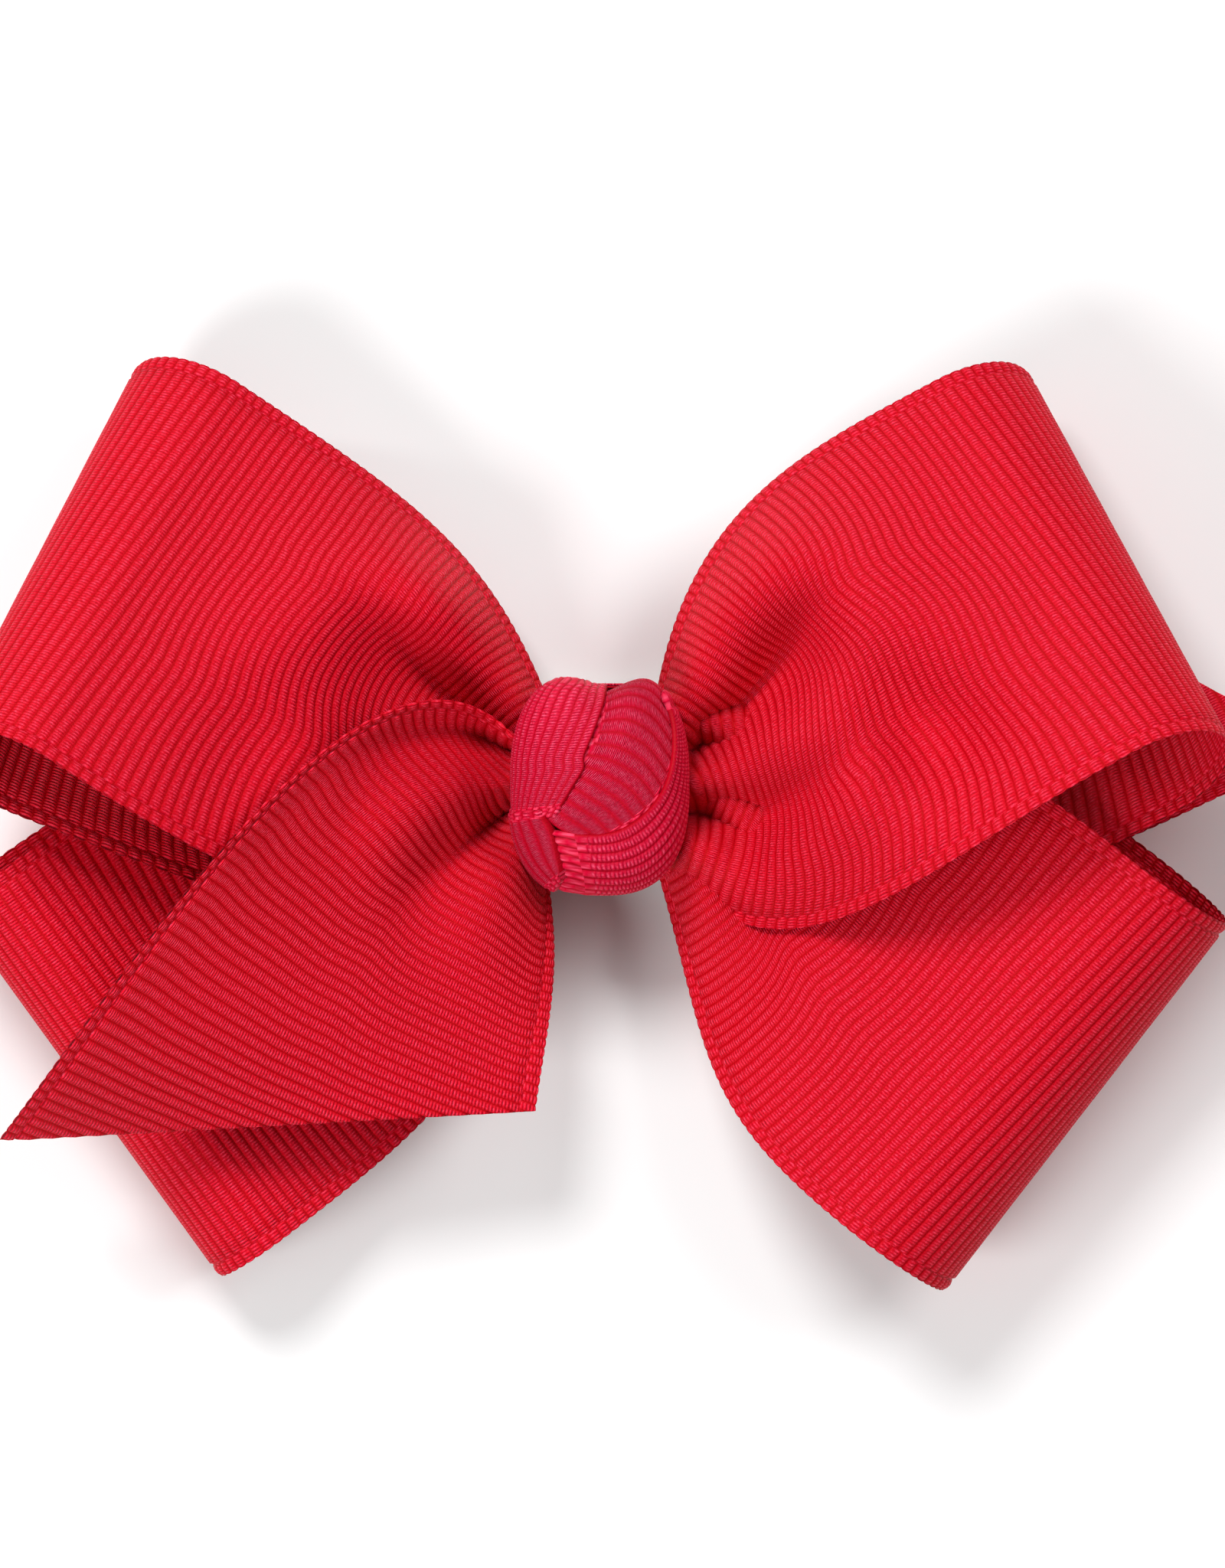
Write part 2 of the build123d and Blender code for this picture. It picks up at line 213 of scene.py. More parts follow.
def strip_mesh(name, points, ribs, v, width, band, thickness, height=RIB_HEIGHT, pitch=RIB_PITCH):
    """Closed ribbed ribbon round a grid of points.

    ribs counts the ribs passed along each column of the grid. Columns may hold different
    numbers of ribs, which leaves a slanted end.
    """
    along = np.gradient(points, axis=0)
    over = np.gradient(points, axis=1)
    normal = np.cross(along, over)
    normal /= np.maximum(np.linalg.norm(normal, axis=2, keepdims=True), 1e-9)
    over /= np.maximum(np.linalg.norm(over, axis=2, keepdims=True), 1e-9)
    row_width = np.linalg.norm(np.diff(points, axis=1), axis=2).sum(axis=1)
    half = 0.5 * thickness * np.maximum(1.0, width / row_width)

    fronts = []
    backs = []
    starts = []
    uv = []
    for j, place in enumerate(v):
        first, last = ribs[0, j], ribs[-1, j]
        rows = np.arange(np.ceil(first * ROWS_PER_RIB + ROW_MARGIN),
                         np.floor(last * ROWS_PER_RIB - ROW_MARGIN) + 1.0)
        targets = np.concatenate([[first], rows / ROWS_PER_RIB, [last]])
        middle, outward, sideways = (
            np.stack([np.interp(targets, ribs[:, j], grid[:, j, k]) for k in range(3)], -1)
            for grid in (points, normal, over))
        across = place * width
        lump = height * relief(targets, across, width, band)
        offset = np.interp(targets, ribs[:, j], half) + lump
        if j in (0, len(v) - 1):
            offset = EDGE_THICKNESS * offset
            reach = EDGE_WAVE * (rib_profile(targets + 0.5) - 0.5)
            middle = middle + sideways * (reach * np.sign(place))[:, None]
        fronts.append(middle + outward * offset[:, None])
        backs.append(middle - outward * offset[:, None])
        starts.append(int(rows[0]))
        uv.append(np.stack([targets * pitch, np.full_like(targets, across)], -1))

    vertices = np.concatenate(fronts + backs)
    faces = strip_faces(starts, [len(column) for column in fronts])
    return mesh_object(name, vertices, faces, np.concatenate(uv + uv))


def strip_faces(starts, counts):
    """Faces of a closed strip, front vertices first, one column after another.

    starts gives the number of each column's first whole row. Between columns that start or
    end at different rows, a fan of triangles fills the slanted end.
    """
    base = np.concatenate([[0], np.cumsum(counts)]).tolist()
    total = base[-1]
    front = []
    for j in range(len(counts) - 1):
        low = max(starts[j], starts[j + 1])
        high = min(starts[k] + counts[k] - 3 for k in (j, j + 1))
        here, there = (base[k] + 1 - starts[k] + np.arange(low, high + 1) for k in (j, j + 1))
        front += fan_faces(range(base[j], here[0] + 1), range(base[j + 1], there[0] + 1), True)
        front += np.stack([here[:-1], there[:-1], there[1:], here[1:]], -1).tolist()
        front += fan_faces(range(here[-1], base[j + 1]), range(there[-1], base[j + 2]), False)
    back = [[i + total for i in reversed(face)] for face in front]
    rim = []
    for j in range(len(counts) - 1):
        a, b = base[j], base[j + 1]
        rim.append([b, a, a + total, b + total])
        a, b = base[j + 1] - 1, base[j + 2] - 1
        rim.append([a, b, b + total, a + total])
    for a in range(base[0], base[1] - 1):
        rim.append([a, a + 1, a + 1 + total, a + total])
    for a in range(base[-2], base[-1] - 1):
        rim.append([a + 1, a, a + total, a + 1 + total])
    return front + back + rim


def fan_faces(here, there, at_start):
    """Faces between two lines of vertices at a strip's end, one of which has only two."""
    here, there = [int(i) for i in here], [int(i) for i in there]
    if len(here) == len(there):
        return [[here[0], there[0], there[1], here[1]]]
    if len(here) > len(there):
        point = there[0] if at_start else there[1]
        made = [[a, point, b] for a, b in zip(here, here[1:])]
        extra = [here[-1], there[0], there[1]] if at_start else [here[0], there[0], there[1]]
    else:
        point = here[0] if at_start else here[1]
        made = [[point, a, b] for a, b in zip(there, there[1:])]
        extra = [here[0], there[-1], here[1]] if at_start else [here[0], there[0], here[1]]
    return made + [extra]


def mesh_object(name, vertices, faces, uv=None):
    """Object of a mesh given in millimetres."""
    mesh = bpy.data.meshes.new(name)
    mesh.from_pydata((np.asarray(vertices) * MM).tolist(), [], faces)
    mesh.polygons.foreach_set("use_smooth", [True] * len(mesh.polygons))
    if uv is not None:
        corners = np.empty(len(mesh.loops), int)
        mesh.loops.foreach_get("vertex_index", corners)
        layer = mesh.uv_layers.new(name="Weave")
        layer.data.foreach_set("uv", np.asarray(uv, float)[corners].ravel())
    mesh.update()
    made = bpy.data.objects.new(name, mesh)
    bpy.context.scene.collection.objects.link(made)
    return made


# ---------------------------------------------------------------- loops and tails
DENSE_ROWS = 320
WAIST_ROWS = 40
FOLD_ROWS = 90
LOOP_COLUMNS = 31
TAIL_COLUMNS = 45
WAIST_STRAIGHT = (0.45, 0.25)   # shares of the way to the neck that it sets off and ends straight
GATHER_GROW = (4.0, 11.0)       # the pleats grow between these distances from the middle
BUMP_GROW = (0.0, 6.0)          # and bumps between these distances from the neck
ROLL_WIDTH = (0.2, 0.5)         # a rolled edge rises between these places across the ribbon
ROLL_FADE = (8.0, 40.0)         # and runs out between these distances from the neck
SLANT_AT_WAIST = 0.3            # share of the cut end's slant that a tail's ribs start with


def pleat_height(ply):
    """Height of the pleats in a ply, lower towards the back."""
    return np.interp(ply, (1, PLY_COUNT), (PLEAT_FRONT, PLEAT_BACK))


def pleats(shape, v):
    """Pleat pattern across the neck, the same in every ply: three ridges, edges down."""
    middle = 0.0 if shape["side"] > 0 else 180.0
    turn = 1.5 * pi * (mix(shape["neck"], v) - middle) / NECK_HALF_ANGLE
    return 2.0 * np.sqrt(np.cos(turn) ** 2 + PLEAT_ROUNDING) - 1.0


def neck_leave(shape, v, lift):
    return direction(mix(shape["fan"], v), lift)


def inner_run(shape, ply, v, lift):
    """Grid from the middle of the waist out to the neck."""
    t = np.linspace(0.0, 1.0, WAIST_ROWS)[:, None, None]
    start_straight, neck_straight = WAIST_STRAIGHT
    side = shape["side"]
    start = np.stack([0.0 * v, side * 2.0 * GATHER_HALF * v, 0.0 * v + PLY_LEVELS[ply]], -1)
    neck = direction(mix(shape["neck"], v)) * NECK_RADIUS + [0.0, 0.0, PLY_LEVELS[ply]]
    room = np.abs(neck[:, :1] - start[:, :1])
    grid = bezier(start, start + [side, 0.0, 0.0] * room * start_straight,
                  neck - neck_leave(shape, v, lift) * room * neck_straight, neck, t)
    grow = smoothstep(np.abs(grid[:, :, 0]), *GATHER_GROW)
    grid[:, :, 2] += grow * pleat_height(ply) * pleats(shape, v)
    return grid


def bump_heights(bumps, grid):
    """Height that the bumps and hollows add at each point of a grid."""
    total = 0.0
    for x, y, radius, height in bumps:
        squared = (grid[:, :, 0] - x) ** 2 + (grid[:, :, 1] - y) ** 2
        total = total + height * np.exp(-squared / radius**2)
    return total


def leg(shape, ply, v, lift, end, approach, crown, bumps=(), fade=PLEAT_FADE):
    """Grid from the neck out to the end of a leg, pleated at the neck and crowned between."""
    t = np.linspace(0.0, 1.0, DENSE_ROWS)[:, None, None]
    start = direction(mix(shape["neck"], v)) * NECK_RADIUS + [0.0, 0.0, PLY_LEVELS[ply]]
    leave = neck_leave(shape, v, lift) * mix(shape["neck_reach"], v)[:, None]
    grid = bezier(start, start + leave, end - approach, end, t)
    distance = running_length(grid)
    kept = 1.0 - smoothstep(distance, *fade)
    grid[:, :, 2] += kept * pleat_height(ply) * pleats(shape, v)
    if bumps:
        grid[:, :, 2] += smoothstep(distance, *BUMP_GROW) * bump_heights(bumps, grid)
    return grid + crown * ((1.0 - (2.0 * v) ** 2)[:, None] * np.sin(pi * t) ** 2)


def rib_counts(grids):
    """Ribs passed along each column: the same number in each grid for every column."""
    counted = []
    start = 0.0
    for grid in grids:
        length = running_length(grid)
        number = round(length[-1].mean() / RIB_PITCH)
        counted.append(start + number * length / length[-1])
        start += number
    return counted


def join(grids):
    """Stacks grids that share their end rows."""
    return np.concatenate([grids[0]] + [grid[1:] for grid in grids[1:]])


def loop_grids(loop, v):
    """The five runs of a loop: waist, front leg, fold, back leg and waist again."""
    along = direction(loop["heading"])
    across = direction(loop["heading"] + 90.0, loop["tilt"])
    outward = np.cross(along, across)
    radius = loop["radius"]
    centre = np.array(loop["fold"]) - along * radius + across * (v * RIBBON_WIDTH)[:, None]
    front_close, back_close = np.radians(loop["close"])
    reach = mix(loop["fold_reach"], v)[:, None]
    front_ply, back_ply = loop["plies"]
    front_crown, back_crown = loop["crown"]

    front_end = centre + (outward * np.cos(front_close) - along * np.sin(front_close)) * radius
    approach = (along * np.cos(front_close) + outward * np.sin(front_close)) * reach
    front = leg(loop, front_ply, v, loop["lift"], front_end, approach, outward * front_crown,
                loop["bumps"], loop["fade"])
    back_end = centre - (outward * np.cos(back_close) + along * np.sin(back_close)) * radius
    approach = (along * np.cos(back_close) - outward * np.sin(back_close)) * reach
    back = leg(loop, back_ply, v, 0.0, back_end, approach, -outward * back_crown,
               fade=HIDDEN_FADE)
    turn = np.linspace(-front_close, pi + back_close, FOLD_ROWS)[:, None, None]
    fold = centre + (outward * np.cos(turn) + along * np.sin(turn)) * radius
    return [inner_run(loop, front_ply, v, loop["lift"]), front, fold, back[::-1],
            inner_run(loop, back_ply, v, 0.0)[::-1]]


def make_loop(loop):
    v = columns(RIBBON_WIDTH, SELVEDGE, LOOP_COLUMNS)
    grids = loop_grids(loop, v)
    points = join(grids)
    ribs = join(rib_counts(grids)) + loop["skew"] * v / RIB_PITCH
    made = strip_mesh(f"ribbon_{loop['name']}", points, ribs, v, RIBBON_WIDTH, SELVEDGE,
                      RIBBON_THICKNESS)
    length = running_length(points)[-1].mean()
    return made, length


def tail_grids(tail, v):
    """The two runs of a tail: waist and leg."""
    low, high = (np.array(corner) for corner in tail["ends"])
    end = mix((low, high), v)
    approach = direction(mix(tail["headings"], v), -mix(tail["dip"], v))
    approach = approach * mix(tail["end_reach"], v)[:, None]
    lift = mix(tail["lift"], v)
    run = leg(tail, tail["ply"], v, lift, end, approach, np.zeros(3), tail["bumps"], tail["fade"])
    rolled = smoothstep(-v, *ROLL_WIDTH) * tail["roll"]
    run[:, :, 2] += rolled * (1.0 - smoothstep(running_length(run), *ROLL_FADE))
    inner = inner_run(tail, tail["ply"], v, lift)
    inner[:, :, 2] += rolled * smoothstep(np.abs(inner[:, :, 0]), *GATHER_GROW)
    return [inner, run]


def make_tail(tail):
    v = columns(RIBBON_WIDTH, SELVEDGE, TAIL_COLUMNS)
    points = join(tail_grids(tail, v))
    length = running_length(points)
    low, high = (np.array(corner) for corner in tail["ends"])
    slant = (low - high) @ direction(tail["rib_heading"])
    at_end = (0.5 - v) * slant + length[-1].mean()
    at_end -= at_end.mean() - length[-1].mean()
    slanted = SLANT_AT_WAIST + (1.0 - SLANT_AT_WAIST) * length / length[-1]
    ribs = (length + (at_end - length[-1]) * slanted) / RIB_PITCH
    made = strip_mesh(f"ribbon_{tail['name']}", points, ribs, v, RIBBON_WIDTH, SELVEDGE,
                      RIBBON_THICKNESS)
    return made, length[-1]


# ---------------------------------------------------------------- knot
KNOT_LOW, KNOT_HIGH = node_box("centre_knot")
KNOT_HALF = 0.5 * (KNOT_HIGH - KNOT_LOW)[:2]
KNOT_EQUATOR = 4.0              # height of the widest place above the knot's back
KNOT_CENTRE = np.append(0.5 * (KNOT_LOW + KNOT_HIGH)[:2], KNOT_LOW[2] + KNOT_EQUATOR)
STRAP_THICKNESS = 0.7
NARROW_WIDTH = 22.0             # the narrow ribbon before it was drawn into the knot
NARROW_BAND = 0.8               # its woven edge
NARROW_RIB_HEIGHT = 0.24
LINE_POINTS = 80                # along each line that a strap is spread between
STRAP_ROWS = 160
STRAP_COLUMNS = 33
EDGE_FADE = 0.12                # share of a strap over which a lifted edge settles
KNOT_SQUARENESS = 2.7           # 2 is an ellipse; more is nearer to a rectangle
KNOT_SCALE = 0.96               # of the outline, within the CAD knot's box
KNOT_NOTCH = (88.0, 15.0, 0.15)  # direction and half width in degrees, and depth as a share
KNOT_HUMP = (63.0, 10.0, 0.06)
KNOT_DOME = 2.4                 # 2 is an ellipsoid; more is flatter in front
UNDER_END = 0.6                 # where a strap folded under the knot ends, past its outline
UNDER_LOWEST = 0.45             # and where it is lowest, as shares of the outline
UNDER_INWARD = 0.9              # how fast it turns back in
KINK_LINE = (2.6, 0.25)         # height and slope of the crease across a kinked strap
KINK_WIDTH = 0.5                # half the width over which it bends
KINK_FROM = (-10.0, -6.0)       # the kink grows between these places across the knot
CORE_RAISED = -1.3              # the core lies this far under the knot's surface
CORE_REACH = 1.5                # and reaches this far, as a share of the outline

# Straps of the knot. Each is spread between a few of its ribs, listed in order, and each rib
# runs through points on the knot's front. Points past its outline fold round its side.
KNOT_STRAPS = (
    dict(name="knot_strap_centre", raised=-0.4, edges=(-0.5, 0.0), ribs=15, kink=0.0, lines=(
        ((-1.0, 12.4), (2.6, 13.8), (6.6, 14.4), (9.0, 12.0)),
        ((-0.8, 9.6), (4.1, 9.4), (7.2, 7.0), (9.6, 3.6)),
        ((-2.8, 4.6), (1.5, 1.6), (4.6, -0.9), (7.0, -3.2)),
        ((-6.4, 0.4), (-3.2, -2.8), (-0.6, -5.0), (1.4, -7.4)),
        ((-8.6, -2.4), (-6.2, -5.2), (-3.6, -7.0), (-1.6, -8.6)))),
    dict(name="knot_strap_left", raised=0.25, edges=(0.0, 0.45), ribs=13, kink=0.9, lines=(
        ((-9.6, 15.0), (-12.8, 8.4), (-13.4, 2.1), (-13.4, -2.6), (-13.0, -6.4)),
        ((-6.9, 14.6), (-9.7, 8.0), (-10.6, 2.2), (-10.6, -1.8), (-10.2, -5.2)),
        ((-3.2, 14.6), (-4.6, 8.0), (-6.3, 2.9), (-7.3, -1.2), (-8.4, -4.8)),
        ((0.8, 12.6), (0.2, 8.6), (-1.9, 3.0), (-4.2, -0.9), (-6.2, -4.2)))),
    dict(name="knot_strap_corner", raised=0.45, edges=(0.0, 0.25), ribs=6, kink=0.0, lines=(
        ((-13.4, -3.4), (-13.2, -8.6), (-10.6, -12.4), (-6.0, -14.2)),
        ((-10.6, -3.6), (-10.2, -7.4), (-7.9, -9.9), (-4.6, -12.0)),
        ((-6.9, -3.4), (-5.6, -5.6), (-4.9, -8.2), (-4.1, -11.2)))),
    dict(name="knot_strap_right", raised=0.15, edges=(0.45, 0.0), ribs=11, kink=0.0, lines=(
        ((7.2, 10.4), (8.4, 6.6), (8.2, 2.1), (6.7, -1.8), (3.6, -4.9), (-0.3, -6.2),
         (-7.2, -5.8)),
        ((8.2, 11.6), (9.6, 6.4), (10.1, 0.8), (9.2, -4.2), (5.4, -8.4), (0.4, -9.6),
         (-7.0, -8.2)),
        ((9.4, 12.6), (10.8, 5.8), (11.0, -1.4), (10.6, -7.8), (6.2, -12.4), (1.2, -13.2),
         (-6.6, -10.8)),
        ((11.4, 13.6), (12.8, 5.4), (13.4, -2.2), (13.0, -9.8), (7.4, -16.0), (1.2, -16.6),
         (-7.0, -14.4)))),
)


def knot_outline(angle):
    """Distance from the middle to the knot's outline at an angle, seen from the front."""
    across = np.abs(np.cos(angle) / KNOT_HALF[0]) ** KNOT_SQUARENESS
    up = np.abs(np.sin(angle) / KNOT_HALF[1]) ** KNOT_SQUARENESS
    notch, hump = (share * np.exp(-((np.degrees(angle) - place) / width) ** 2)
                   for place, width, share in (KNOT_NOTCH, KNOT_HUMP))
    return KNOT_SCALE * (across + up) ** (-1.0 / KNOT_SQUARENESS) * (1.0 - notch + hump)


def on_knot(plan, raised):
    """Points on the knot from their place seen from the front, raised above its surface."""
    offset = plan - KNOT_CENTRE[:2]
    angle = np.arctan2(offset[..., 1], offset[..., 0])
    outline = knot_outline(angle)
    share = np.linalg.norm(offset, axis=-1) / outline
    front = np.clip(share, 0.0, 1.0)
    under = np.clip(share - 1.0, 0.0, UNDER_END)
    depth = KNOT_HIGH[2] - KNOT_CENTRE[2]
    height = depth * np.sqrt(1.0 - front**KNOT_DOME)
    height = height - KNOT_EQUATOR * np.sin(pi * np.minimum(under, UNDER_LOWEST))
    reach = outline * (front - UNDER_INWARD * under**2)
    point = np.stack([reach * np.cos(angle), reach * np.sin(angle), height], -1)
    size = np.linalg.norm(point, axis=-1, keepdims=True)
    return KNOT_CENTRE + point * (1.0 + raised[..., None] / size)


def strap_grid(strap, v):
    """Grid of a strap: rows go from rib to rib and columns along each rib."""
    lines = [spline(line, LINE_POINTS) for line in strap["lines"]]
    where = np.linspace(0.0, LINE_POINTS - 1.0, len(v))
    along = np.stack([np.stack([np.interp(where, np.arange(LINE_POINTS), line[:, k])
                                for k in range(2)], -1) for line in lines])
    plan = np.stack([spline(along[:, j], STRAP_ROWS) for j in range(len(v))], 1)
    if strap["kink"]:
        crease = KINK_LINE[0] + KINK_LINE[1] * plan[:, :, 0]
        bend = strap["kink"] * (1.0 + np.tanh((crease - plan[:, :, 1]) / KINK_WIDTH))
        plan[:, :, 0] += 0.5 * bend * smoothstep(plan[:, :, 0], *KINK_FROM)
    share = np.linspace(0.0, 1.0, STRAP_ROWS)[:, None]
    first_lift, last_lift = strap["edges"]
    raised = (strap["raised"] + first_lift * np.exp(-share / EDGE_FADE)
              + last_lift * np.exp(-(1.0 - share) / EDGE_FADE))
    return on_knot(plan, raised)


def make_strap(strap):
    v = columns(NARROW_WIDTH, NARROW_BAND, STRAP_COLUMNS)
    grid = strap_grid(strap, v)
    length = running_length(grid)
    ribs = strap["ribs"] * length / length[-1]
    return strip_mesh(strap["name"], grid, ribs, v, NARROW_WIDTH, NARROW_BAND, STRAP_THICKNESS,
                      height=NARROW_RIB_HEIGHT, pitch=NARROW_RIB_PITCH)


def make_knot_core():
    """Filling of the knot under its straps."""
    rings = 22
    around = 48
    angle = np.linspace(0.0, 2.0 * pi, around, endpoint=False)
    vertices = []
    for ring in range(rings):
        share = CORE_REACH * (ring + 0.5) / rings
        distance = (share * knot_outline(angle))[:, None]
        plan = KNOT_CENTRE[:2] + distance * np.stack([np.cos(angle), np.sin(angle)], -1)
        vertices.append(on_knot(plan, np.full(around, CORE_RAISED)))
    faces = [list(range(around)), [(rings - 1) * around + k for k in range(around)][::-1]]
    for ring in range(rings - 1):
        for k in range(around):
            a, b = ring * around + k, ring * around + (k + 1) % around
            faces.append([b, a, a + around, b + around])
    return mesh_object("knot_core", np.concatenate(vertices), faces)


# ---------------------------------------------------------------- wrap, thread, glue and foam
WRAP_LAYER = 0.25               # thickness of one layer of the folded wrap
WRAP_BEND = 2.0                 # outer radius where the wrap turns up from the back
WRAP_RIB_HEIGHT = 0.05
WRAP_SPACE = 0.02               # kept free between its two layers and the CAD leg's faces
WRAP_INSETS = (0.1, 0.3)        # inside the CAD leg's sides, at the open edge and at the fold
WRAP_COLUMNS = 18


def wrap_path(side):
    """Middle line of a wrap leg, as (y, z), from its lapped end to the knot."""
    name = "wrap_leg_upper" if side > 0 else "wrap_leg_lower"
    low, high = node_box(name)
    thickness = node_box("wrap_leg_upper")[0][2] - node_box("wrap_leg_lower")[0][2]
    outer = max(abs(low[1]), abs(high[1])) - 0.5 * thickness
    lap = min(abs(low[1]), abs(high[1]))
    back = low[2] + 0.5 * thickness
    radius = WRAP_BEND - 0.5 * thickness
    turn = np.linspace(0.0, 0.5 * pi, 24)
    bend = np.stack([outer - radius + radius * np.sin(turn),
                     back + radius - radius * np.cos(turn)], -1)
    start = np.linspace(-lap, outer - radius, 40, endpoint=False)
    flat = np.stack([start, np.full_like(start, back)], -1)
    rise = np.linspace(back + radius, high[2], 40)[1:]
    upright = np.stack([np.full_like(rise, outer), rise], -1)
    line = np.concatenate([flat, bend, upright])
    line[:, 0] *= side
    return line, thickness, high[0]


def make_wrap(side):
    """Narrow ribbon folded in half along its length, from the lap to the knot."""
    line, thickness, half_width = wrap_path(side)
    gap = 0.5 * thickness - 0.5 * WRAP_LAYER - WRAP_SPACE
    fold = np.linspace(-0.5 * pi, 0.5 * pi, 7)[1:-1]
    open_inset, fold_inset = WRAP_INSETS
    flat = np.linspace(half_width - open_inset, -half_width + fold_inset, WRAP_COLUMNS)
    x = np.concatenate([flat, -half_width + fold_inset - gap * np.cos(fold), flat[::-1]])
    layer = np.full(WRAP_COLUMNS, gap)
    out = np.concatenate([-layer, gap * np.sin(fold), layer])
    tangent = np.gradient(line, axis=0)
    tangent /= np.linalg.norm(tangent, axis=1, keepdims=True)
    outward = np.stack([tangent[:, 1], -tangent[:, 0]], -1) * side
    grid = np.empty((len(line), len(x), 3))
    grid[:, :, 0] = x
    grid[:, :, 1:] = line[:, None, :] + outward[:, None, :] * out[None, :, None]
    step = np.hypot(np.diff(x), np.diff(out))
    v = np.concatenate([[0.0], np.cumsum(step)])
    width = v[-1]
    ribs = running_length(grid) / NARROW_RIB_PITCH
    name = "folded_wrap_upper" if side > 0 else "folded_wrap_lower"
    made = strip_mesh(name, grid, ribs, v / width - 0.5, width, NARROW_BAND, WRAP_LAYER,
                      height=WRAP_RIB_HEIGHT, pitch=NARROW_RIB_PITCH)
    return made, width, running_length(grid)[-1].mean()


FOAM_CORNER = 3.5
FOAM_SWELL = 0.25               # how far its sides fall back at the two faces
FOAM_ROUGHNESS = 0.03

THREAD_TURNS = 6
THREAD_PITCH = 0.9
THREAD_DIAMETER = 0.5
THREAD_TWISTS = 46.0            # turns of its two strands in one turn round the waist


def make_thread():
    """Two-ply thread wound round the waist, each turn closed."""
    low, high = node_box("gather_thread")
    middle = 0.5 * (low + high)
    half = 0.5 * (high - low) - 0.5 * THREAD_DIAMETER
    corner = 1.5 * THREAD_DIAMETER
    steps = 220
    sides = 6
    radius = 0.25 * THREAD_DIAMETER
    line = rounded_rectangle(half[1], half[2], corner, steps)
    tangent = np.roll(line, -1, axis=0) - np.roll(line, 1, axis=0)
    tangent /= np.linalg.norm(tangent, axis=1, keepdims=True)
    outward = np.stack([tangent[:, 1], -tangent[:, 0]], -1)
    twist = 2.0 * pi * THREAD_TWISTS * np.arange(steps) / steps
    around = 2.0 * pi * np.arange(sides) / sides
    vertices = []
    faces = []
    for turn in range(THREAD_TURNS):
        x = middle[0] + (turn - 0.5 * (THREAD_TURNS - 1)) * THREAD_PITCH
        for strand in (0.0, pi):
            base = len(vertices) * sides * steps
            shift_x = radius * np.cos(twist + strand)
            shift_out = radius * np.sin(twist + strand)
            ring = np.empty((steps, sides, 3))
            ring[:, :, 0] = x + shift_x[:, None] + radius * np.cos(around)
            reach = shift_out[:, None] + radius * np.sin(around)
            ring[:, :, 1:] = line[:, None, :] + outward[:, None, :] * reach[:, :, None]
            ring[:, :, 1:] += middle[1:]
            vertices.append(ring.reshape(-1, 3))
            for k in range(steps):
                here = base + k * sides
                there = base + ((k + 1) % steps) * sides
                for side in range(sides):
                    after = (side + 1) % sides
                    faces.append([here + side, here + after, there + after, there + side])
    return mesh_object("twisted_thread", np.concatenate(vertices), faces)


def rounded_rectangle(half_a, half_b, corner, count):
    """Evenly spread points round a rounded rectangle."""
    points = []
    for quarter, (a, b) in enumerate(((1, 1), (-1, 1), (-1, -1), (1, -1))):
        turn = np.linspace(0.0, 0.5 * pi, 10) + quarter * 0.5 * pi
        points.append(np.stack([a * (half_a - corner) + corner * np.cos(turn),
                                b * (half_b - corner) + corner * np.sin(turn)], -1))
    points = np.concatenate(points)
    closed = np.vstack([points, points[:1]])
    length = np.concatenate([[0.0], np.cumsum(np.linalg.norm(np.diff(closed, axis=0), axis=1))])
    where = np.linspace(0.0, length[-1], count, endpoint=False)
    return np.stack([np.interp(where, length, closed[:, k]) for k in range(2)], -1)


def slab(name, outlines):
    """Closed body from stacked outlines, each an array of (x, y, z) points."""
    count = len(outlines[0])
    faces = [list(range(count))[::-1], [(len(outlines) - 1) * count + k for k in range(count)]]
    for level in range(len(outlines) - 1):
        for k in range(count):
            a, b = level * count + k, level * count + (k + 1) % count
            faces.append([a, b, b + count, a + count])
    return mesh_object(name, np.concatenate(outlines), faces)


def make_glue(rng):
    """Hot-melt glue squeezed out between the card and the wrap."""
    levels = ((0.0, 0.93), (0.15, 0.99), (0.5, 1.0), (0.85, 0.97), (1.0, 0.9))
    low, high = node_box("glue_dot")
    radius = 0.5 * (high[0] - low[0])
    angle = np.linspace(0.0, 2.0 * pi, 96, endpoint=False)
    wave = sum(rng.uniform(0.01, 0.03) * np.cos(k * angle + rng.uniform(0.0, 2.0 * pi))
               for k in (2, 3, 5, 7))
    outlines = []
    for share, swell in levels:
        reach = radius * swell * (0.95 + wave)
        height = low[2] + share * (high[2] - low[2])
        outlines.append(np.stack([reach * np.cos(angle), reach * np.sin(angle),
                                  np.full_like(angle, height)], -1))
    return slab("glue_blob", outlines)


def make_foam(rng):
    """Foam tape with sides that swell between its two glued faces."""
    low, high = node_box("adhesive_foam")
    half = 0.5 * (high - low)
    middle = 0.5 * (high + low)
    count = 360
    levels = 9
    rough = rng.normal(0.0, FOAM_ROUGHNESS, (levels, count))
    line = rounded_rectangle(half[0], half[1], FOAM_CORNER, count)
    outlines = []
    for level, share in enumerate(np.linspace(0.0, 1.0, levels)):
        swell = -FOAM_SWELL + FOAM_SWELL * np.sin(pi * share) ** 0.5 + rough[level]
        size = 1.0 + swell / np.linalg.norm(line, axis=1)
        height = np.full((count, 1), low[2] + share * (high[2] - low[2]))
        outlines.append(np.hstack([line * size[:, None] + middle[:2], height]))
    return slab("foam_pad", outlines)


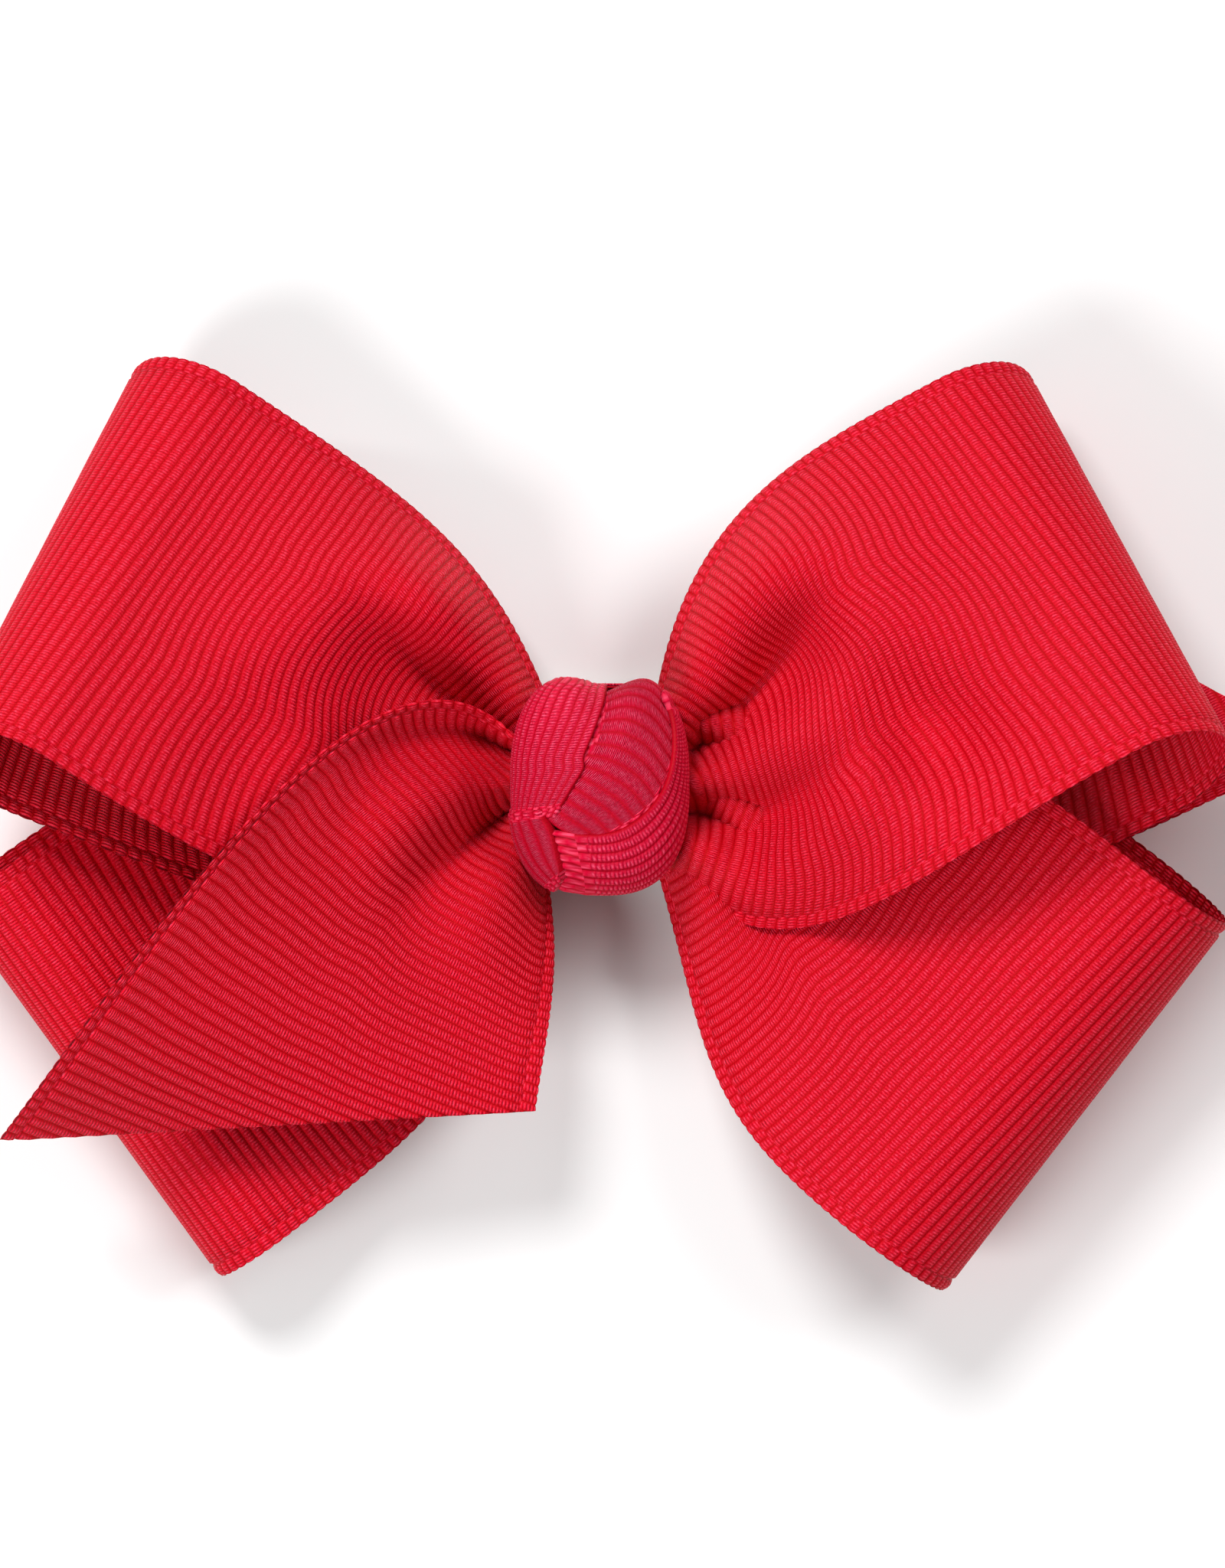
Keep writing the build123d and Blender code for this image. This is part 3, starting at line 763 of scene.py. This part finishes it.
# ---------------------------------------------------------------- materials
# Noise scales count per metre, and on the weave's own coordinates per millimetre.
FIBRE_SHARE = 0.6               # how far the fibres' noise varies a rib's colour
MOTTLE_SHARE = 0.2              # and the slight mottle over the whole cloth
# The bead glints below are painted highlights in the base colour.
SPARKLE_FROM = 0.42             # beads begin to glint where the fibres' noise passes this
SPARKLE_GAIN = 5.0
SPARKLE_SHARE = 0.8             # glint of a sparkling bead
PLAIN_GLINT = 0.15              # and of any other
FIBRE_RELIEF = 0.7              # height of the fibres, against a bead's
BEAD_RELIEF = 0.00018           # height of the beads in metres


class Nodes:
    """Short hands for building a material's nodes."""

    def __init__(self, name):
        self.material = bpy.data.materials.new(name)
        self.material.use_nodes = True
        self.tree = self.material.node_tree
        self.shader = self.tree.nodes["Principled BSDF"]

    def node(self, kind, **settings):
        made = self.tree.nodes.new(kind)
        for key, value in settings.items():
            setattr(made, key, value)
        return made

    def link(self, source, target):
        if isinstance(source, (int, float, tuple)):
            target.default_value = source
        else:
            self.tree.links.new(source, target)

    def math(self, operation, a, b=0.0):
        made = self.node("ShaderNodeMath", operation=operation)
        self.link(a, made.inputs[0])
        self.link(b, made.inputs[1])
        return made.outputs[0]

    def noise(self, scale, detail=2.0, vector=None):
        made = self.node("ShaderNodeTexNoise")
        made.inputs["Scale"].default_value = scale
        made.inputs["Detail"].default_value = detail
        if vector is None:
            vector = self.node("ShaderNodeTexCoord").outputs["Object"]
        self.link(vector, made.inputs["Vector"])
        return made.outputs["Fac"]

    def ramp(self, factor, low, high):
        """Colour between two others, each a tuple or another node's output."""
        made = self.node("ShaderNodeMix", data_type="RGBA")
        self.link(factor, made.inputs[0])
        for colour, socket in ((low, made.inputs[6]), (high, made.inputs[7])):
            self.link((*colour, 1.0) if isinstance(colour, tuple) else colour, socket)
        return made.outputs[2]

    def clamp(self, value):
        made = self.node("ShaderNodeClamp")
        self.link(value, made.inputs[0])
        return made.outputs[0]

    def bump(self, height, distance):
        made = self.node("ShaderNodeBump")
        made.inputs["Distance"].default_value = distance
        made.inputs["Strength"].default_value = 1.0
        self.link(height, made.inputs["Height"])
        self.tree.links.new(made.outputs["Normal"], self.shader.inputs["Normal"])

    def set(self, **values):
        for key, value in values.items():
            self.shader.inputs[key.replace("_", " ")].default_value = value


def ribbon_material(name, shaded_groove, ridge, painted_glint, pitch, width, band):
    """Grosgrain: beads of thread along each rib with a painted highlight on them, painted shade in
    the grooves and a slight mottle.
    """
    m = Nodes(name)
    uv = m.node("ShaderNodeUVMap", uv_map="Weave").outputs["UV"]
    parts = m.node("ShaderNodeSeparateXYZ")
    m.link(uv, parts.inputs[0])
    along, across = parts.outputs[0], parts.outputs[1]
    inset = m.math("SUBTRACT", 0.5 * width, m.math("ABSOLUTE", across))
    woven_edge = m.math("LESS_THAN", inset, band)
    ribs = m.math("ADD", m.math("DIVIDE", along, pitch), m.math("MULTIPLY", woven_edge, 0.5))
    rib = m.math("ABSOLUTE", m.math("SINE", m.math("MULTIPLY", ribs, pi)))
    row = m.math("MULTIPLY", m.math("FLOOR", ribs), 0.5 * pi)
    beads = m.math("ADD", m.math("MULTIPLY", across, pi / BEAD_PITCH), row)
    bead = m.math("ABSOLUTE", m.math("SINE", beads))
    fibre = m.noise(2.6, 3.0, uv)
    mottle = m.noise(90.0, 3.0)
    uneven = m.math("ADD", m.math("MULTIPLY", m.math("SUBTRACT", fibre, 0.5), FIBRE_SHARE),
                    m.math("MULTIPLY", m.math("SUBTRACT", mottle, 0.5), MOTTLE_SHARE))
    # Painted shade: the colour is darker down in the grooves than on the ribs, with random tone
    # from the fibres and mottle on top.
    body = m.clamp(m.math("ADD", m.math("POWER", rib, 0.8), uneven))
    # Painted highlight: a glint painted on the tops of the ribs' beads, brighter where the fibres'
    # noise sparkles.
    spot = m.math("MULTIPLY", m.math("POWER", rib, 2.0), m.math("POWER", bead, 1.5))
    sparkle = m.clamp(m.math("MULTIPLY", m.math("SUBTRACT", fibre, SPARKLE_FROM), SPARKLE_GAIN))
    glow = m.math("ADD", m.math("MULTIPLY", sparkle, SPARKLE_SHARE), PLAIN_GLINT)
    spot = m.math("MULTIPLY", spot, glow)
    colour = m.ramp(spot, m.ramp(body, shaded_groove, ridge), painted_glint)
    m.link(colour, m.shader.inputs["Base Color"])
    height = m.math("ADD", m.math("MULTIPLY", bead, rib), m.math("MULTIPLY", fibre, FIBRE_RELIEF))
    m.bump(height, BEAD_RELIEF)
    m.set(Roughness=0.42, Sheen_Weight=0.03, Sheen_Roughness=0.4, Specular_IOR_Level=0.06)
    m.shader.inputs["Sheen Tint"].default_value = (1.0, 0.35, 0.35, 1.0)
    return m.material


def thread_material():
    m = Nodes("sewing thread")
    m.link(m.ramp(m.noise(2500.0, 2.0), (0.25, 0.004, 0.01), (0.62, 0.02, 0.04)),
           m.shader.inputs["Base Color"])
    m.bump(m.noise(6000.0, 2.0), 0.00003)
    m.set(Roughness=0.5, Sheen_Weight=0.2)
    return m.material


def glue_material():
    m = Nodes("hot-melt glue")
    m.link(m.ramp(m.noise(400.0, 2.0), (0.62, 0.55, 0.42), (0.78, 0.72, 0.58)),
           m.shader.inputs["Base Color"])
    m.bump(m.noise(300.0, 2.0), 0.00008)
    m.set(Roughness=0.28, Subsurface_Weight=0.25, Subsurface_Scale=0.001)
    return m.material


def card_material():
    m = Nodes("white card")
    m.link(m.ramp(m.noise(700.0, 6.0), (0.66, 0.63, 0.58), (0.84, 0.82, 0.78)),
           m.shader.inputs["Base Color"])
    m.bump(m.noise(1800.0, 5.0), 0.00005)
    m.set(Roughness=0.82)
    return m.material


def foam_material():
    m = Nodes("white foam tape")
    cells = m.node("ShaderNodeTexVoronoi")
    cells.inputs["Scale"].default_value = 2600.0
    m.link(m.node("ShaderNodeTexCoord").outputs["Object"], cells.inputs["Vector"])
    distance = cells.outputs["Distance"]
    # Painted shade: the pits that the bump sinks between the cells are painted darker.
    m.link(m.ramp(distance, (0.86, 0.86, 0.84), (0.6, 0.6, 0.58)), m.shader.inputs["Base Color"])
    m.bump(distance, -0.0001)
    m.set(Roughness=0.9, Subsurface_Weight=0.15, Subsurface_Scale=0.0006)
    return m.material


def liner_material():
    m = Nodes("glazed release paper")
    m.link(m.ramp(m.noise(120.0, 4.0), (0.72, 0.66, 0.5), (0.85, 0.8, 0.66)),
           m.shader.inputs["Base Color"])
    m.bump(m.noise(900.0, 3.0), 0.00002)
    m.set(Roughness=0.32, Coat_Weight=0.3, Coat_Roughness=0.15)
    return m.material


def paint(piece, material):
    piece.data.materials.clear()
    piece.data.materials.append(material)


# ---------------------------------------------------------------- assembly
rng = np.random.default_rng(7)
# Groove colours here are painted shade, and glint colours are painted highlights.
RIBBON_MATERIAL = ribbon_material(
    "red grosgrain ribbon", shaded_groove=(0.42, 0.0004, 0.003), ridge=(0.74, 0.0015, 0.017),
    painted_glint=(0.98, 0.055, 0.115), pitch=RIB_PITCH, width=RIBBON_WIDTH, band=SELVEDGE)
KNOT_MATERIAL = ribbon_material(
    "rose red grosgrain ribbon", shaded_groove=(0.42, 0.0006, 0.010), ridge=(0.70, 0.002, 0.040),
    painted_glint=(0.95, 0.10, 0.20), pitch=NARROW_RIB_PITCH, width=NARROW_WIDTH, band=NARROW_BAND)


def fit_ribbon(made, shape, plies):
    """Finish of a loop's or tail's ribbon: its material, the CAD parts it stands for hidden and
    its transform baked.
    """
    paint(made, RIBBON_MATERIAL)
    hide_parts(shape["name"], *(f"waist_ply_{n}" for n in plies))
    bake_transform(made)


for loop in LOOPS:
    ribbon, ribbon_length = make_loop(loop)
    fit_ribbon(ribbon, loop, loop["plies"])

for tail in TAILS:
    ribbon, ribbon_lengths = make_tail(tail)
    fit_ribbon(ribbon, tail, (tail["ply"],))

for piece in [make_strap(strap) for strap in KNOT_STRAPS] + [make_knot_core()]:
    paint(piece, KNOT_MATERIAL)
    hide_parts("centre_knot")
    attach(piece, "waist")

for side, node in ((1, "wrap_leg_upper"), (-1, "wrap_leg_lower")):
    wrap, wrap_width, wrap_length = make_wrap(side)
    paint(wrap, KNOT_MATERIAL)
    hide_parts(node)
    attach(wrap, "waist")

for piece, node, slot, material in (
        (make_thread(), "gather_thread", "thread", thread_material()),
        (make_glue(rng), "glue_dot", "hot_melt_glue", glue_material()),
        (make_foam(rng), "adhesive_foam", "foam", foam_material())):
    paint(piece, material)
    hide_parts(node)
    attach(piece, "waist")

for node, material in (("backing_card", card_material()), ("release_liner", liner_material())):
    paint(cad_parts[node], material)

# ---------------------------------------------------------------- floor, light and camera
VIEW_CENTRE = (0.0014, -0.0004)
VIEW_HEIGHT = 0.1931            # height of the picture where the bow is
VIEW_DISTANCE = 4.0
SENSOR = 36.0
FLOOR_SIZE = 6.0
FLOOR_DROP = 0.0002             # the floor lies just under the bow, so that no faces coincide
LIGHTS = (                      # place and diameter in metres, power in watts
    ("key light", (-0.4, 0.9, 1.2), 0.6, 16.5),
    ("fill light", (1.0, 0.6, 1.2), 0.9, 9.0),
    ("low light", (-1.0, -0.8, 1.2), 0.9, 19.0),
)
ROOM_BRIGHTNESS = 0.2


def make_floor():
    bpy.ops.mesh.primitive_plane_add(size=FLOOR_SIZE, location=(0.0, 0.0, -FLOOR_DROP))
    floor = bpy.context.object
    floor.name = "floor"
    m = Nodes("pale floor")
    m.link(m.ramp(m.noise(3.0, 2.0), (0.88, 0.88, 0.88), (0.92, 0.92, 0.92)),
           m.shader.inputs["Base Color"])
    m.set(Roughness=0.9)
    paint(floor, m.material)


def make_light(name, place, size, power):
    data = bpy.data.lights.new(name, "AREA")
    data.shape = "DISK"
    data.size = size
    data.energy = power
    light = bpy.data.objects.new(name, data)
    light.location = place
    light.rotation_euler = (-Vector(place)).to_track_quat("-Z", "Y").to_euler()
    bpy.context.scene.collection.objects.link(light)


def make_camera():
    data = bpy.data.cameras.new("camera")
    data.sensor_width = SENSOR
    data.lens = SENSOR * VIEW_DISTANCE / VIEW_HEIGHT
    data.clip_start = 0.05
    data.clip_end = 20.0
    camera = bpy.data.objects.new("camera", data)
    camera.location = (*VIEW_CENTRE, VIEW_DISTANCE)
    bpy.context.scene.collection.objects.link(camera)
    bpy.context.scene.camera = camera


bpy.context.scene.view_settings.view_transform = "Standard"
make_floor()
for light_settings in LIGHTS:
    make_light(*light_settings)
world = bpy.data.worlds.new("white room")
world.use_nodes = True
background = world.node_tree.nodes["Background"]
background.inputs["Color"].default_value = (1.0, 1.0, 1.0, 1.0)
background.inputs["Strength"].default_value = ROOM_BRIGHTNESS
bpy.context.scene.world = world
make_camera()
